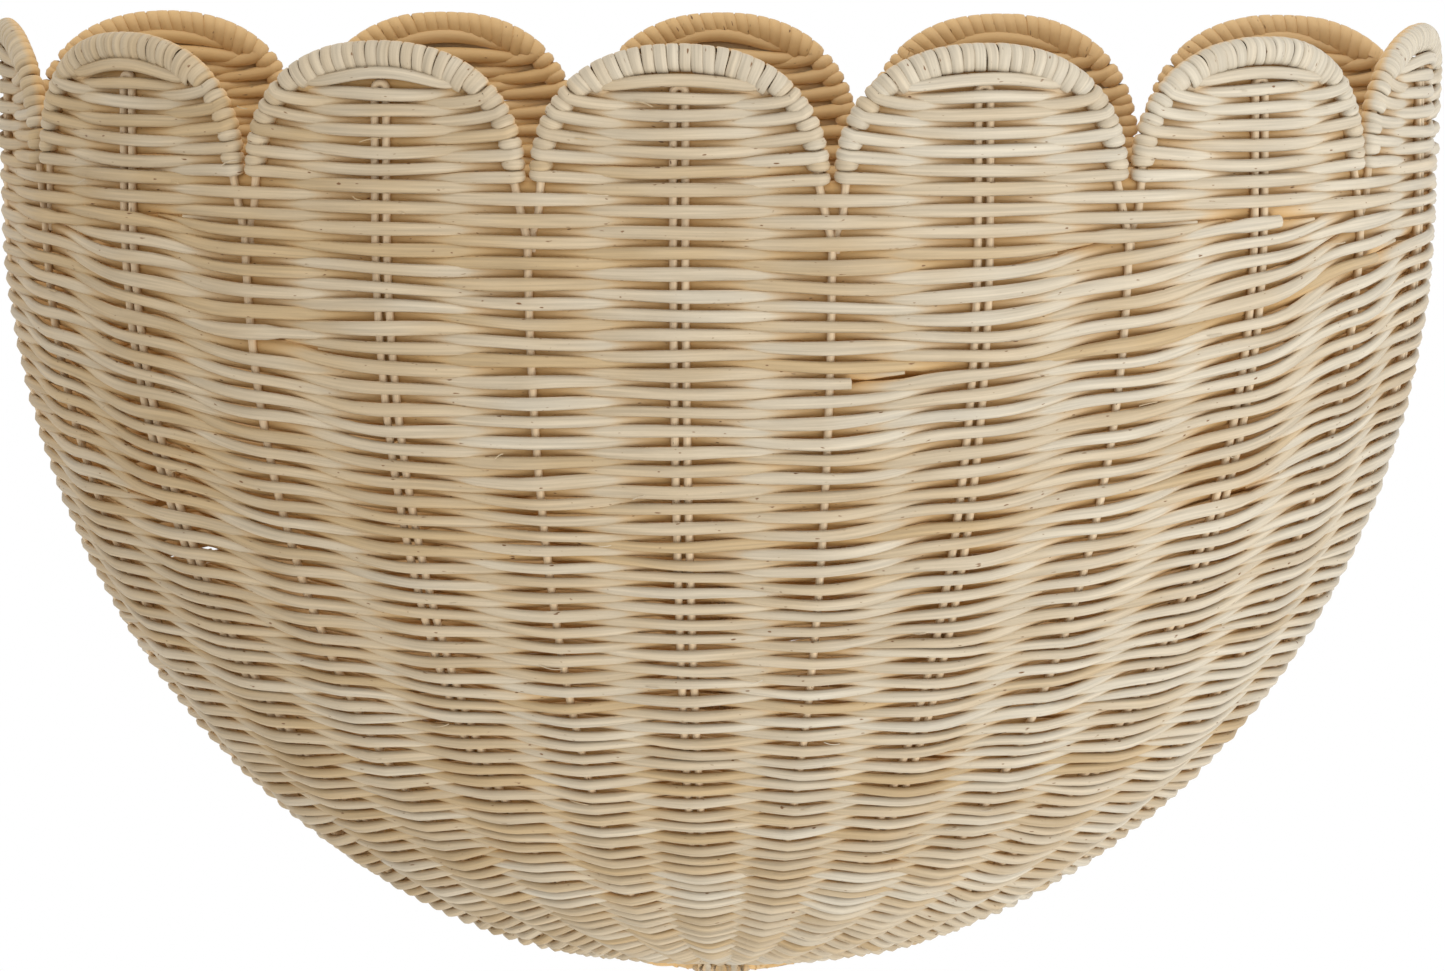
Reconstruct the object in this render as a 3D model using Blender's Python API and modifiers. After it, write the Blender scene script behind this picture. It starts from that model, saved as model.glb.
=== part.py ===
"""Scalloped wall basket, woven from round rattan core on a D-shaped plan.

Units are metres. X runs along the wall, -Y is the front, Z is up. The origin lies on the wall
plane, on the centre line, at the widest level of the bowl.

The wall is one shape: a level D plan that shrinks along a quarter ellipse down to a pole on the
wall plane. wall_point gives any place in it from an arc length along the plan, a level and a depth.
"""

import math

import bmesh
import bpy
import numpy as np

# Whole basket
HALF_WIDTH = 0.190            # widest level, centre line to side
DEPTH = 0.155                 # wall plane to the front of the bowl
BOWL_HEIGHT = 0.211           # widest level down to the lowest point
COLLAR_HEIGHT = 0.0076        # straight weave above the widest level, under the scallops
PETAL_HEIGHT = 0.0355         # collar to the top of a scallop
CORNER_RADIUS = 0.016         # plan corner where the front meets the flat back
BASE_HALF_WIDTH = 0.060       # where the body's rows stop and the base knot begins

# Counts
FRONT_PETALS = 7
BACK_PETALS = 5
BOWL_LEVELS = 7

# Material sizes
STRAND_THICKNESS = 0.0022     # one flattened weaver, through the wall
ROD_RADIUS = 0.0011           # stake rods
PAIR_SPACING = 0.0031         # centre to centre of the two thin rods up the middle of a scallop
RIM_RADIUS = 0.00315          # wrapped border hoop, outside its lashing
LEG_OFFSET = 0.0034           # a hoop's leg from the centre of its valley
TIP_TUCK = 0.010              # how far a hoop's end is pushed down beside the next stake
TIP_OFFSET = 0.0019           # the pushed-in end from the centre of its valley
HAIRPIN_GAP = 0.0035          # top of the paired rods to the hoop's lashing
CLEARANCE = 0.0003            # between pieces that touch

# Curve shapes
FRONT_POWER = 2.2             # superellipse of the front's plan
PETAL_POWER = 2.3             # superellipse of a scallop
HOOP_STEPS = 8
BEND_STEPS = 4                # over the top of a pair of rods
PANEL_FOOT_SHARE = 0.15       # where a scallop's weave ends, up the first step of its hoop
PLAIN_SHARES = (0.5,)         # stations between two grooves
CORNER_SHARES = (0.1, 0.25, 0.55)  # the same beside a plan corner
ROD_SIDES_RESOLUTION = 1      # bevel resolution: six sides
HOOP_SIDES_RESOLUTION = 2     # bevel resolution: eight sides
PLAN_SAMPLES = 6000
CORNER_SAMPLES = 300

# Wall nails
NAIL_SHANK_RADIUS = 0.0008
NAIL_HEAD_RADIUS = 0.0016
NAIL_HEAD_HEIGHT = 0.0011
NAIL_STAND_OUT = 0.0012       # back of the head to the weave it pins
NAIL_SIDES = 8
RIGHT_NAIL_DROP = 0.0062      # below the top of its scallop
LEFT_NAIL_DROP = 0.0085
CUT_OVERRUN = 0.002

WALL = 2 * STRAND_THICKNESS + 2 * ROD_RADIUS
MIDDLE = WALL / 2             # depth of the stakes in the wall
CROSSING_DEPTH = MIDDLE - STRAND_THICKNESS / 2  # outside of the weave midway between two stakes
GROOVE_FLOOR = MIDDLE - ROD_RADIUS - 2 * CLEARANCE
ROD_REACH = ROD_RADIUS + CLEARANCE
STAKE_REACH = ROD_RADIUS + 2 * CLEARANCE
PAIR_REACH = PAIR_SPACING / 2 + STAKE_REACH
VALLEY_REACH = LEG_OFFSET + ROD_REACH
HOOP_TOP = COLLAR_HEIGHT + PETAL_HEIGHT - RIM_RADIUS
HOOP_RISE = HOOP_TOP - COLLAR_HEIGHT
BASE_LEVEL = math.acos(BASE_HALF_WIDTH / HALF_WIDTH)

CREAM = (0.79, 0.68, 0.50)
HONEY = (0.58, 0.38, 0.19)
TAN = (0.70, 0.55, 0.36)
STEEL = (0.30, 0.29, 0.28)


def clear_scene():
    for thing in list(bpy.data.objects):
        bpy.data.objects.remove(thing, do_unlink=True)


def make_material(name, colour, roughness, metallic=0.0):
    material = bpy.data.materials.new(name)
    material.use_nodes = True
    shader = material.node_tree.nodes["Principled BSDF"]
    shader.inputs["Base Color"].default_value = (*colour, 1.0)
    shader.inputs["Roughness"].default_value = roughness
    shader.inputs["Metallic"].default_value = metallic
    material.diffuse_color = (*colour, 1.0)
    return material


class Plan:
    """The D outline at the widest level, read by arc length from the middle of the flat back.

    The length is measured along the middle of the wall, where the stakes stand. The line runs to
    the right along the back, round the right corner, across the front superellipse, round the
    left corner and back to the start.
    """

    def __init__(self):
        straight = HALF_WIDTH - CORNER_RADIUS
        turn = np.linspace(0, math.pi / 2, CORNER_SAMPLES)
        sweep = np.linspace(0, math.pi / 2, PLAN_SAMPLES)[1:]
        aside = np.cos(sweep) ** (2 / FRONT_POWER)
        ahead = np.sin(sweep) ** (2 / FRONT_POWER)
        still, full = np.zeros(1), np.ones_like(turn)
        shares = np.array([
            np.concatenate([still, full, aside]),
            np.concatenate([still, np.sin(turn), aside]),
            np.concatenate([still, 0 * turn, ahead]),
            np.concatenate([still, 1 - np.cos(turn), np.ones_like(ahead)]),
        ])
        mirror = shares[:, -2::-1] * np.array([[-1], [-1], [1], [1]])
        self.shares = np.concatenate([shares, mirror], axis=1)
        outside = np.array(self.outline(self.shares, 1))
        run = np.gradient(outside, axis=1)
        inward = np.array([-run[1], run[0]]) / np.hypot(*run)
        steps = np.diff(outside + inward * MIDDLE, axis=1)
        self.arc = np.concatenate([[0], np.cumsum(np.hypot(*steps))])
        self.length = self.arc[-1]
        self.corner_middle = straight + math.pi / 4 * (CORNER_RADIUS - MIDDLE)

    def outline(self, shares, shrink):
        """The D at a share of its full width: the corners keep their radius down to the base."""
        corner = CORNER_RADIUS * min(1, shrink * HALF_WIDTH / BASE_HALF_WIDTH)
        straight = HALF_WIDTH * shrink - corner
        front = DEPTH * shrink - corner
        return straight * shares[0] + corner * shares[1], front * shares[2] + corner * shares[3]

    def at(self, arc, shrink):
        arc = arc % self.length
        return self.outline([np.interp(arc, self.arc, row) for row in self.shares], shrink)

    def valleys(self):
        """Arc lengths of the scallop valleys, and the width of the scallop after each one."""
        back = 2 * self.corner_middle / BACK_PETALS
        front = (self.length - 2 * self.corner_middle) / FRONT_PETALS
        places = [-self.corner_middle + back * k for k in range(BACK_PETALS)]
        places += [self.corner_middle + front * k for k in range(FRONT_PETALS)]
        return places, [back] * BACK_PETALS + [front] * FRONT_PETALS


PLAN = Plan()


def skin_point(arc, level, height):
    """A place on the outside of the wall: the D plan, shrunk along a quarter ellipse."""
    x, y = PLAN.at(arc, math.cos(level))
    return np.array((x, -y, height - BOWL_HEIGHT * math.sin(level)))


def wall_point(arc, level, height, depth):
    """A place in the wall.

    arc: along the plan; level: 0 at the widest level, a quarter turn at the pole; height: above
    the widest level, for the straight collar and scallops; depth: inwards, square to the outside.
    """
    here = skin_point(arc, level, height)
    along = skin_point(arc + CLEARANCE, level, height) - skin_point(arc - CLEARANCE, level, height)
    step = CLEARANCE / BOWL_HEIGHT
    down = skin_point(arc, level + step, height) - skin_point(arc, level - step, height)
    outward = np.cross(along, down)
    return here - outward / np.linalg.norm(outward) * depth


def beside(arc, level, sideways):
    """The arc length of a line that runs this far beside the upright line at arc.

    The plan shrinks with the level, and upright lines cross it at a slant, so the same real
    distance is a longer stretch of plan lower down.
    """
    small = CLEARANCE
    here = wall_point(arc, level, 0, MIDDLE)
    along = (wall_point(arc + small, level, 0, MIDDLE) - here) / small
    down = wall_point(arc, level + small / BOWL_HEIGHT, 0, MIDDLE) - here
    down /= np.linalg.norm(down)
    return arc + sideways / np.linalg.norm(np.cross(along, down))


def bowl_levels():
    return [BASE_LEVEL * k / BOWL_LEVELS for k in range(BOWL_LEVELS + 1)]


def link_mesh(name, bm, material, collection):
    bmesh.ops.recalc_face_normals(bm, faces=bm.faces)
    mesh = bpy.data.meshes.new(name)
    bm.to_mesh(mesh)
    bm.free()
    mesh.materials.append(material)
    thing = bpy.data.objects.new(name, mesh)
    collection.objects.link(thing)
    mesh.shade_smooth()
    mesh.set_sharp_from_angle(angle=math.radians(40))
    return thing


def tube_object(name, points, radius, resolution, capped, material, collection):
    """A round bar or sleeve along a line of points."""
    curve = bpy.data.curves.new(name, "CURVE")
    curve.dimensions = "3D"
    curve.bevel_depth = radius
    curve.bevel_resolution = resolution
    curve.use_fill_caps = capped
    curve.twist_mode = "MINIMUM"
    spline = curve.splines.new("POLY")
    spline.points.add(len(points) - 1)
    for place, point in zip(spline.points, points):
        place.co = (*point, 1)
    curve.materials.append(material)
    thing = bpy.data.objects.new(name, curve)
    collection.objects.link(thing)
    return thing


def to_mesh(thing, collection):
    """A curve object as a mesh object of the same name, with its caps welded on."""
    name = thing.name
    graph = bpy.context.evaluated_depsgraph_get()
    mesh = bpy.data.meshes.new_from_object(thing.evaluated_get(graph))
    bm = bmesh.new()
    bm.from_mesh(mesh)
    bmesh.ops.remove_doubles(bm, verts=bm.verts, dist=CLEARANCE / 100)
    bm.to_mesh(mesh)
    bm.free()
    bpy.data.objects.remove(thing)
    solid = bpy.data.objects.new(name, mesh)
    collection.objects.link(solid)
    mesh.shade_smooth()
    mesh.set_sharp_from_angle(angle=math.radians(50))
    return solid


def crossing_stations(row, start, end, plain_share, shares):
    """Stations of the plain wall between two grooves.

    Midway between two stakes the strands change sides and the wall is one strand thick, so both
    faces dip there. The dip dies out at the collar's top and at the base, where other pieces meet
    the wall, and it is less where the grooves leave little plain wall.
    """
    dip = 0 if row in (0, BOWL_LEVELS + 1) else CROSSING_DEPTH * plain_share
    depths = [dip * math.sin(math.pi * share) ** 2 for share in shares]
    return [(start + (end - start) * share, WALL - depth, depth) for share, depth in zip(shares, depths)]


def wall_stations(row, level, valley, width, corner_before, corner_after):
    """Stations of one scallop's stretch of wall, from its left valley to just before the next.

    Each is (arc, depth of the inner face, depth of the outer face or None where it has no point).
    The grooves keep their real width at every level, and the plain wall between them is shared out.
    """
    pair = valley + width / 2
    valley_reach = valley_reach_at(row)
    leave_valley = beside(valley, level, valley_reach)
    meet_pair = beside(pair, level, -PAIR_REACH)
    leave_pair = beside(pair, level, PAIR_REACH)
    meet_valley = beside(valley + width, level, -valley_reach)
    shares_before = CORNER_SHARES if corner_before else PLAIN_SHARES
    shares_after = CORNER_SHARES if corner_after else PLAIN_SHARES
    plain_share = (meet_pair - leave_valley) / (pair - valley)
    stations = [
        (valley, GROOVE_FLOOR, 0),
        (leave_valley, GROOVE_FLOOR, None),
        (leave_valley, WALL, 0 if corner_before else None),
    ]
    stations += crossing_stations(row, leave_valley, meet_pair, plain_share, shares_before)
    stations += [
        (meet_pair, WALL, None),
        (meet_pair, GROOVE_FLOOR, None),
        (pair, GROOVE_FLOOR, 0),
        (leave_pair, GROOVE_FLOOR, None),
        (leave_pair, WALL, None),
    ]
    stations += reversed(crossing_stations(row, meet_valley, leave_pair, plain_share, shares_after))
    stations += [
        (meet_valley, WALL, 0 if corner_after else None),
        (meet_valley, GROOVE_FLOOR, None),
    ]
    return stations


def valley_reach_at(row):
    """Half the width of a valley's groove, wide at the top where a hoop's end is tucked in."""
    return {0: VALLEY_REACH, 1: VALLEY_REACH - CLEARANCE}.get(row, STAKE_REACH)


def ring_stations(row, level):
    """Every scallop's stations round one ring of the body."""
    places, widths = PLAN.valleys()
    count = len(places)
    corners = (0, BACK_PETALS)
    return [wall_stations(row, level, places[k], widths[k], k in corners, (k + 1) % count in corners)
            for k in range(count)]


def body_rings():
    """(level, height) of each ring of the body, from the collar's top down to the base."""
    return [(0, COLLAR_HEIGHT)] + [(level, 0) for level in bowl_levels()]


def make_body(material, collection):
    """The woven wall below the scallops: an open shell with a groove inside for every stake, and
    thinner between the stakes.

    The outer and the inner face are lofts between level rings; a strip of faces joins them at the
    collar's top and at the base.
    """
    bm = bmesh.new()
    outer = []
    inner = []
    owners = []
    for row, (level, height) in enumerate(body_rings()):
        outer_ring = []
        inner_ring = []
        owner_ring = []
        for stations in ring_stations(row, level):
            for arc, inner_depth, outer_depth in stations:
                if outer_depth is not None:
                    outer_ring.append(bm.verts.new(wall_point(arc, level, height, outer_depth)))
                inner_ring.append(bm.verts.new(wall_point(arc, level, height, inner_depth)))
                owner_ring.append(len(outer_ring) - 1)
        outer.append(outer_ring)
        inner.append(inner_ring)
        owners.append(owner_ring)
    for ring_set in (outer, inner):
        for above, below in zip(ring_set, ring_set[1:]):
            for k in range(len(above)):
                after = (k + 1) % len(above)
                bm.faces.new((above[k], above[after], below[after], below[k]))
    for row in (0, -1):
        close_rim(bm, outer[row], inner[row], owners[row])
    return link_mesh("body_weave", bm, material, collection)


def close_rim(bm, outer_ring, inner_ring, owners):
    """Joins an outer ring to a finer inner ring: one face for each step of the outer ring."""
    count = len(outer_ring)
    for k in range(count):
        after = (k + 1) % count
        inside = [vert for vert, owner in zip(inner_ring, owners) if owner == k]
        last = next(vert for vert, owner in zip(inner_ring, owners) if owner == after)
        bm.faces.new([outer_ring[k], outer_ring[after], last, *reversed(inside)])


def superellipse(half_width, rise, steps):
    """Points (sideways, up) over an arch, from its right foot to its left foot."""
    angles = np.linspace(0, math.pi, steps + 1)
    power = 2 / PETAL_POWER
    side = half_width * np.sign(np.cos(angles)) * np.abs(np.cos(angles)) ** power
    up = rise * np.abs(np.sin(angles)) ** power
    return side, up


def hoop_line(valley, width):
    """(arc, height) of a scallop's hoop, from the foot that grows out of its own stake."""
    side, up = superellipse(width / 2 - LEG_OFFSET, HOOP_RISE, HOOP_STEPS)
    return [(valley + width / 2 - s, COLLAR_HEIGHT + u) for s, u in zip(side, up)]


def rising_line(arc, sideways=0):
    """A stake's line in the middle of the wall, from its foot up to the widest level.

    The foot stops where the rod's square end clears the base knot: a rod that meets the knot's
    edge at a slant stops further away.
    """
    levels = bowl_levels()
    line = [wall_point(beside(arc, level, sideways), level, 0, MIDDLE) for level in reversed(levels)]
    foot, above = line[:2]
    rise = (above - foot) / np.linalg.norm(above - foot)
    spot = beside(arc, BASE_LEVEL, sideways)
    inward = wall_point(spot, BASE_LEVEL, 0, WALL) - wall_point(spot, BASE_LEVEL, 0, 0)
    stops = []
    for side in (-PAIR_REACH, -STAKE_REACH, STAKE_REACH, PAIR_REACH):
        along = wall_point(beside(spot, BASE_LEVEL, side), BASE_LEVEL, 0, MIDDLE) - foot
        seam = np.cross(along, inward)
        facing = abs(seam @ rise) / np.linalg.norm(seam)
        stops.append((ROD_RADIUS * math.sqrt(1 - facing ** 2) + 2 * CLEARANCE) / facing)
    stop = max(stops)
    line[0] = foot + rise * stop
    return line


def make_stake(index, valley, width, material, collection):
    """One rod: up its valley from the base, over the scallop as its hoop, and down the next valley."""
    points = rising_line(valley)[:-1]
    points.append(wall_point(valley + LEG_OFFSET / 2, 0, 0, MIDDLE))
    points += [wall_point(arc, 0, height, MIDDLE) for arc, height in hoop_line(valley, width)]
    points.append(wall_point(valley + width - (LEG_OFFSET + TIP_OFFSET) / 2, 0, 0, MIDDLE))
    top = wall_point(valley + width - TIP_OFFSET, 0, 0, MIDDLE)
    below = wall_point(valley + width - TIP_OFFSET, bowl_levels()[1], 0, MIDDLE)
    down = (below - top) / np.linalg.norm(below - top)
    points.append(top + down * TIP_TUCK)
    name = f"hoop_stake_{index:02d}"
    rod = tube_object(name, points, ROD_RADIUS, ROD_SIDES_RESOLUTION, True, material, collection)
    return to_mesh(rod, collection)


def make_pair(index, valley, width, material, collection):
    """Two thin rods side by side up the middle of a scallop: one rod bent over at the top."""
    middle = valley + width / 2
    half = PAIR_SPACING / 2
    top = HOOP_TOP - RIM_RADIUS - HAIRPIN_GAP - ROD_RADIUS - half
    rising = rising_line(middle, -half)
    falling = rising_line(middle, half)[::-1]
    bend = np.linspace(math.pi, 0, BEND_STEPS + 1)
    over = [wall_point(middle + half * math.cos(turn), 0, top + half * math.sin(turn), MIDDLE)
            for turn in bend]
    name = f"paired_stake_{index:02d}"
    line = rising + over + falling
    rod = tube_object(name, line, ROD_RADIUS, ROD_SIDES_RESOLUTION, True, material, collection)
    return to_mesh(rod, collection)


def make_rim(index, valley, width, material, collection):
    """The lashing wound round a hoop: a sleeve over the arch, open at both feet."""
    line = hoop_line(valley, width)
    for end, neighbour in ((0, 1), (-1, -2)):
        run = line[neighbour][0] - line[end][0]
        rise = line[neighbour][1] - line[end][1]
        lift = RIM_RADIUS * abs(run) / math.hypot(run, rise) + CLEARANCE
        line[end] = (line[end][0] + lift * run / rise, line[end][1] + lift)
    points = [wall_point(arc, 0, height, MIDDLE) for arc, height in line]
    name = f"rim_wrap_{index:02d}"
    sleeve = tube_object(name, points, RIM_RADIUS, HOOP_SIDES_RESOLUTION, False, material, collection)
    sleeve = to_mesh(sleeve, collection)
    shell = sleeve.modifiers.new("wall of the lashing", "SOLIDIFY")
    shell.thickness = RIM_RADIUS - ROD_REACH
    shell.offset = -1
    shell.use_even_offset = True
    return sleeve


def make_panel(index, valley, width, material, collection):
    """The weave inside a scallop, with a groove on its inner face for the paired rods.

    A loft along the wall of upright sections: each runs from the collar up to the arch.
    """
    bm = bmesh.new()
    inset = RIM_RADIUS + CLEARANCE
    half = width / 2 - LEG_OFFSET - inset
    rise = HOOP_RISE - inset
    foot = COLLAR_HEIGHT + CLEARANCE
    side, up = superellipse(half, rise, HOOP_STEPS)
    first = side[0] + (side[1] - side[0]) * PANEL_FOOT_SHARE
    places = [*(place for place in side[1:-1] if abs(place) > PAIR_REACH), first, -first]
    places = sorted([*places, PAIR_REACH, -PAIR_REACH])
    chains = []
    for place in places:
        top = COLLAR_HEIGHT + np.interp(place, side[::-1], up[::-1])
        depths = (0, GROOVE_FLOOR, WALL) if abs(place) == PAIR_REACH else (0, WALL)
        chains.append([
            [bm.verts.new(wall_point(valley + width / 2 + place, 0, height, depth)) for depth in depths]
            for height in (foot, top)
        ])
    for k, (here, there) in enumerate(zip(chains, chains[1:])):
        in_groove = places[k] == -PAIR_REACH
        spans = [[row[:2] if in_groove else row for row in chain] for chain in (here, there)]
        (low, high), (next_low, next_high) = spans
        bm.faces.new((low[0], high[0], next_high[0], next_low[0]))
        bm.faces.new((low[-1], high[-1], next_high[-1], next_low[-1]))
        bm.faces.new((*high, *reversed(next_high)))
        bm.faces.new((*low, *reversed(next_low)))
    for low, high in chains:
        if len(low) == 3:
            bm.faces.new((low[1], high[1], high[2], low[2]))
    for low, high in (chains[0], chains[-1]):
        bm.faces.new((*low, *reversed(high)))
    return link_mesh(f"petal_weave_{index:02d}", bm, material, collection)


def make_base(material, collection):
    """The base knot that closes the bottom: the same wall, carried on to the pole.

    Outside it follows the bowl. Inside it is a plain funnel, because the knot is thickest in its
    middle, where all the stakes cross.
    """
    bm = bmesh.new()
    start = BASE_LEVEL + CLEARANCE / (BOWL_HEIGHT * math.cos(BASE_LEVEL))
    levels = [start, (start + math.pi / 2) / 2]
    arcs = [arc for stations in ring_stations(BOWL_LEVELS + 1, BASE_LEVEL)
            for arc, inner_depth, outer_depth in stations if outer_depth is not None]
    count = len(arcs)
    rims = []
    for depth, ring_levels in ((0, levels), (WALL, levels[:1])):
        rings = [[bm.verts.new(wall_point(arc, level, 0, depth)) for arc in arcs] for level in ring_levels]
        pole = bm.verts.new((0, -depth, depth - BOWL_HEIGHT))
        for k in range(count):
            after = (k + 1) % count
            for above, below in zip(rings, rings[1:]):
                bm.faces.new((above[k], above[after], below[after], below[k]))
            bm.faces.new((rings[-1][k], rings[-1][after], pole))
        rims.append(rings[0])
    for k in range(count):
        after = (k + 1) % count
        bm.faces.new((rims[0][k], rims[0][after], rims[1][after], rims[1][k]))
    return link_mesh("base_knot", bm, material, collection)


def nail_place(side, drop):
    """Centre of a nail on the wall plane: the middle of an outer scallop of the flat back."""
    places, widths = PLAN.valleys()
    arc = places[0] + widths[0] / 2
    x = abs(wall_point(arc, 0, 0, 0)[0])
    offset = PAIR_SPACING / 2 + ROD_REACH + NAIL_HEAD_RADIUS
    return side * (x + offset), COLLAR_HEIGHT + PETAL_HEIGHT - 2 * RIM_RADIUS - drop


def make_nail(name, side, drop, material, collection):
    """A round nail with a domed head, flush with the wall plane: its profile turned about Y."""
    x, z = nail_place(side, drop)
    reach = WALL + NAIL_STAND_OUT
    head = NAIL_HEAD_RADIUS
    profile = [
        (0, 0),
        (NAIL_SHANK_RADIUS, 0),
        (NAIL_SHANK_RADIUS, reach),
        (head, reach),
        (head * math.cos(math.pi / 6), reach + NAIL_HEAD_HEIGHT / 2),
        (head / 2, reach + NAIL_HEAD_HEIGHT * math.sin(math.pi / 3)),
        (0, reach + NAIL_HEAD_HEIGHT),
    ]
    bm = bmesh.new()
    verts = [bm.verts.new((radius, -run, 0)) for radius, run in profile]
    edges = [bm.edges.new(pair) for pair in zip(verts, verts[1:])]
    bmesh.ops.spin(bm, geom=verts + edges, cent=(0, 0, 0), axis=(0, 1, 0), angle=2 * math.pi,
                   steps=NAIL_SIDES, use_merge=True)
    bmesh.ops.remove_doubles(bm, verts=bm.verts, dist=CLEARANCE / 100)
    nail = link_mesh(name, bm, material, collection)
    nail.location = (x, 0, z)
    return nail


def cut_nail_hole(panel, side, drop, cutters):
    x, z = nail_place(side, drop)
    bpy.ops.mesh.primitive_cylinder_add(
        vertices=NAIL_SIDES,
        radius=NAIL_SHANK_RADIUS + CLEARANCE,
        depth=WALL + 2 * CUT_OVERRUN,
        location=(x, -WALL / 2, z),
        rotation=(math.pi / 2, 0, 0),
    )
    cutter = bpy.context.object
    cutter.name = f"nail_hole_{panel.name}"
    for home in list(cutter.users_collection):
        home.objects.unlink(cutter)
    cutters.objects.link(cutter)
    cutter.hide_render = True
    cutter.display_type = "WIRE"
    cut = panel.modifiers.new("nail hole", "BOOLEAN")
    cut.operation = "DIFFERENCE"
    cut.solver = "EXACT"
    cut.object = cutter


def build():
    clear_scene()
    basket = bpy.data.collections.new("wall_basket")
    cutters = bpy.data.collections.new("cutters")
    bpy.context.scene.collection.children.link(basket)
    bpy.context.scene.collection.children.link(cutters)
    weave = make_material("woven rattan", CREAM, 0.6)
    rods = make_material("rattan stakes", HONEY, 0.65)
    lashing = make_material("rattan lashing", TAN, 0.6)
    steel = make_material("grey steel", STEEL, 0.4, 1.0)

    make_body(weave, basket)
    make_base(weave, basket)
    places, widths = PLAN.valleys()
    panels = []
    for index, (valley, width) in enumerate(zip(places, widths), start=1):
        make_stake(index, valley, width, rods, basket)
        make_pair(index, valley, width, rods, basket)
        make_rim(index, valley, width, lashing, basket)
        panels.append(make_panel(index, valley, width, weave, basket))
    make_nail("wall_nail_left", -1, LEFT_NAIL_DROP, steel, basket)
    make_nail("wall_nail_right", 1, RIGHT_NAIL_DROP, steel, basket)
    cut_nail_hole(panels[0], -1, LEFT_NAIL_DROP, cutters)
    cut_nail_hole(panels[BACK_PETALS - 1], 1, RIGHT_NAIL_DROP, cutters)


build()
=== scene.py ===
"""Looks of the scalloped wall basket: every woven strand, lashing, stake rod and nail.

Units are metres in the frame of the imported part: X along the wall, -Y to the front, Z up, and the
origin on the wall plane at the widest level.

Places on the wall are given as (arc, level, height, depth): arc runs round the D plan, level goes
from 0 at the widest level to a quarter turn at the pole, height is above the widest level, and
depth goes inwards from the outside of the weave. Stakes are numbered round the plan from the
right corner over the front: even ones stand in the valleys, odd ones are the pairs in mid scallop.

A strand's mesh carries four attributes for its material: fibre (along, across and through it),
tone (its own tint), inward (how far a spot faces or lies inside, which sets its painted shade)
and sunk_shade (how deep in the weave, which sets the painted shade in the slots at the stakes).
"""

import math

import bpy
import numpy as np
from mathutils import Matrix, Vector


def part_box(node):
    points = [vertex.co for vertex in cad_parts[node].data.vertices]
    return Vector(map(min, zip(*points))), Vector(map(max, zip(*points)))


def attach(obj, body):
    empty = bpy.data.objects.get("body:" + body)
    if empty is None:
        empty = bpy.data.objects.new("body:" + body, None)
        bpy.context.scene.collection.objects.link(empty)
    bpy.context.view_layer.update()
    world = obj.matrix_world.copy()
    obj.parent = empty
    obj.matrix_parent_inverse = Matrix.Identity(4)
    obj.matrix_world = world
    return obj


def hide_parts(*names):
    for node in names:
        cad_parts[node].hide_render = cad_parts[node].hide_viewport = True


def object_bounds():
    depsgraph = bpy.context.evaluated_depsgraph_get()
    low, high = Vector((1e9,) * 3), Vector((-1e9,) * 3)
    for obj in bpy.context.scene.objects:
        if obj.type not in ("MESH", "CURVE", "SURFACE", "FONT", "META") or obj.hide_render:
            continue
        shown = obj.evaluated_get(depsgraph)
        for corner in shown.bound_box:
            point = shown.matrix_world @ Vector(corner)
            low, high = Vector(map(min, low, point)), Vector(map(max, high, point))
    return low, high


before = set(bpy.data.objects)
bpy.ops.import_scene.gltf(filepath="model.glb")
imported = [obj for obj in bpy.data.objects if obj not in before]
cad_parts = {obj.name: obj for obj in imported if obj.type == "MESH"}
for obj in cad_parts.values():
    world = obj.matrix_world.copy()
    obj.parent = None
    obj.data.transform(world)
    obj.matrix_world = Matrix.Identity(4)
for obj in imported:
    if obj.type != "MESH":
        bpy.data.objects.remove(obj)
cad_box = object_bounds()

# Sizes read from the frame
HALF_WIDTH = cad_box[1].x
DEPTH = -cad_box[0].y
BOWL_HEIGHT = -cad_box[0].z
PETAL_TOP = cad_box[1].z
COLLAR_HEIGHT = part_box("body_weave")[1].z

# The plan and the scallops
CORNER_RADIUS = 0.016
BASE_HALF_WIDTH = 0.060  # the plan's corners keep their radius down to this half-width
FRONT_POWER = 2.2  # superellipse of the front's plan
PETAL_POWER = 2.3  # superellipse of a scallop
FRONT_PETALS = 7
BACK_PETALS = 5
STAKES = 2 * (FRONT_PETALS + BACK_PETALS)
LEFT_CORNER = 2 * FRONT_PETALS  # stake number; the right corner is stake 0
PLAN_SAMPLES = 3000
CORNER_SAMPLES = 200
HOOP_SAMPLES = 600

# Strands and rods
STRAND_WIDTH = 0.0032  # one weaver, up the wall
STRAND_THICKNESS = 0.0025  # the same, through the wall
STRAND_SIDES = 8
SHARP_ANGLE = math.radians(60)  # only a strand's cut ends have sharp edges
ROD_RADIUS = 0.0011
ROD_SAMPLES = 60
SLOPE_STEP = ROD_RADIUS / 4
PAIR_SPACING = 0.0031
MIDDLE = 0.0033  # depth of the stakes in the wall, from either side
SWING = MIDDLE - STRAND_THICKNESS / 2  # a weaver's centre to the middle of the wall, at a stake
LEG_OFFSET = 0.0034  # a hoop's leg from the centre of its valley
LEG_BEND = 0.5  # share of it where the rod leaves the valley
TIP_BEND = 0.8  # share of it where the hoop's other end goes down
TIP_OFFSET = 0.0011  # that end from the next valley's centre, and its way down
TIP_TUCK = 0.010
TIP_DEPTHS = np.array([0.3, 1, 1.2])  # its way inwards, in rod radii
HOOP_ROD_FOOT = 84  # degrees of level at the knot
PAIR_FOOT = 81
HOOP_ROD_TOP = 2
RIM_RADIUS = 0.00315  # lashed hoop, outside
HAIRPIN_GAP = 0.0035  # top of the paired rods to the lashing
HOOP_RISE = PETAL_TOP - RIM_RADIUS - COLLAR_HEIGHT
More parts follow.
